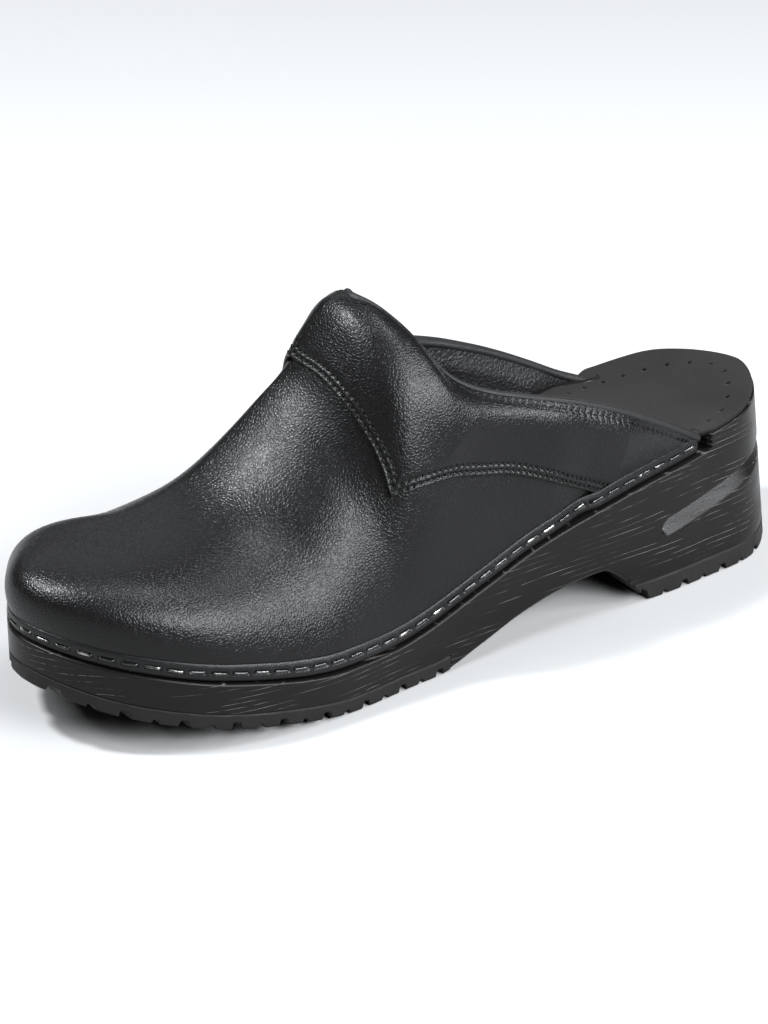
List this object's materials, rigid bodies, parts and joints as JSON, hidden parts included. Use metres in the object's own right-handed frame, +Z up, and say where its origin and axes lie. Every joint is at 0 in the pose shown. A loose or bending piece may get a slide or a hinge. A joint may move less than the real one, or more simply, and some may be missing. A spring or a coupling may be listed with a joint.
{
  "type": "open-back clog",
  "caption": "Open-back clog with a contoured wooden sole, rubber treads and a padded leather upper stapled round the forefoot, leaving the heel open.",
  "frame": {"origin": "centre of the bounding box's bottom face, on the floor plane the treads stand on", "axes": "+X from toe to heel, +Y towards the inner (medial) side of a left foot, +Z up"},
  "size_m": [0.2912, 0.106, 0.1176],
  "materials": {
    "stained_wood": "black-stained wood with fine lengthwise grain, satin",
    "tread_rubber": "matt black rubber",
    "cushion_foam": "open-cell foam",
    "footbed_leather": "matt charcoal leather with small holes round the edge",
    "upper_leather": "smooth black leather with a fine pebble",
    "lining_leather": "strongly pebbled black lining",
    "stiffener_board": "fibreboard",
    "padding_foam": "soft foam",
    "binding_tape": "dark textured tape, rolled",
    "strip_leather": "black leather strip",
    "staple_wire": "black lacquered steel wire"
  },
  "bodies": {
    "root": {"sole_block": "stained_wood", "fore_outsole": "tread_rubber", "heel_outsole": "tread_rubber", "footbed_cushion": "cushion_foam", "footbed_sock": "footbed_leather", "vamp": "upper_leather", "collar_panel": "upper_leather", "lining": "lining_leather", "toe_puff": "stiffener_board", "collar_padding_lateral": "padding_foam", "collar_padding_medial": "padding_foam", "topline_binding": "binding_tape", "staple_strip": "strip_leather", "staple_01": "staple_wire", "staple_02": "staple_wire", "staple_03": "staple_wire", "staple_04": "staple_wire", "staple_05": "staple_wire", "staple_06": "staple_wire", "staple_07": "staple_wire", "staple_08": "staple_wire", "staple_09": "staple_wire", "staple_10": "staple_wire", "staple_11": "staple_wire", "staple_12": "staple_wire", "staple_13": "staple_wire", "staple_14": "staple_wire", "staple_15": "staple_wire", "staple_16": "staple_wire", "staple_17": "staple_wire", "staple_18": "staple_wire", "staple_19": "staple_wire", "staple_20": "staple_wire", "staple_21": "staple_wire", "staple_22": "staple_wire", "staple_23": "staple_wire", "staple_24": "staple_wire", "staple_25": "staple_wire", "staple_26": "staple_wire", "staple_27": "staple_wire", "staple_28": "staple_wire", "staple_29": "staple_wire", "staple_30": "staple_wire", "staple_31": "staple_wire", "staple_32": "staple_wire", "staple_33": "staple_wire", "staple_34": "staple_wire", "staple_35": "staple_wire", "staple_36": "staple_wire", "staple_37": "staple_wire", "staple_38": "staple_wire", "staple_39": "staple_wire"}
  },
  "joints": []
}
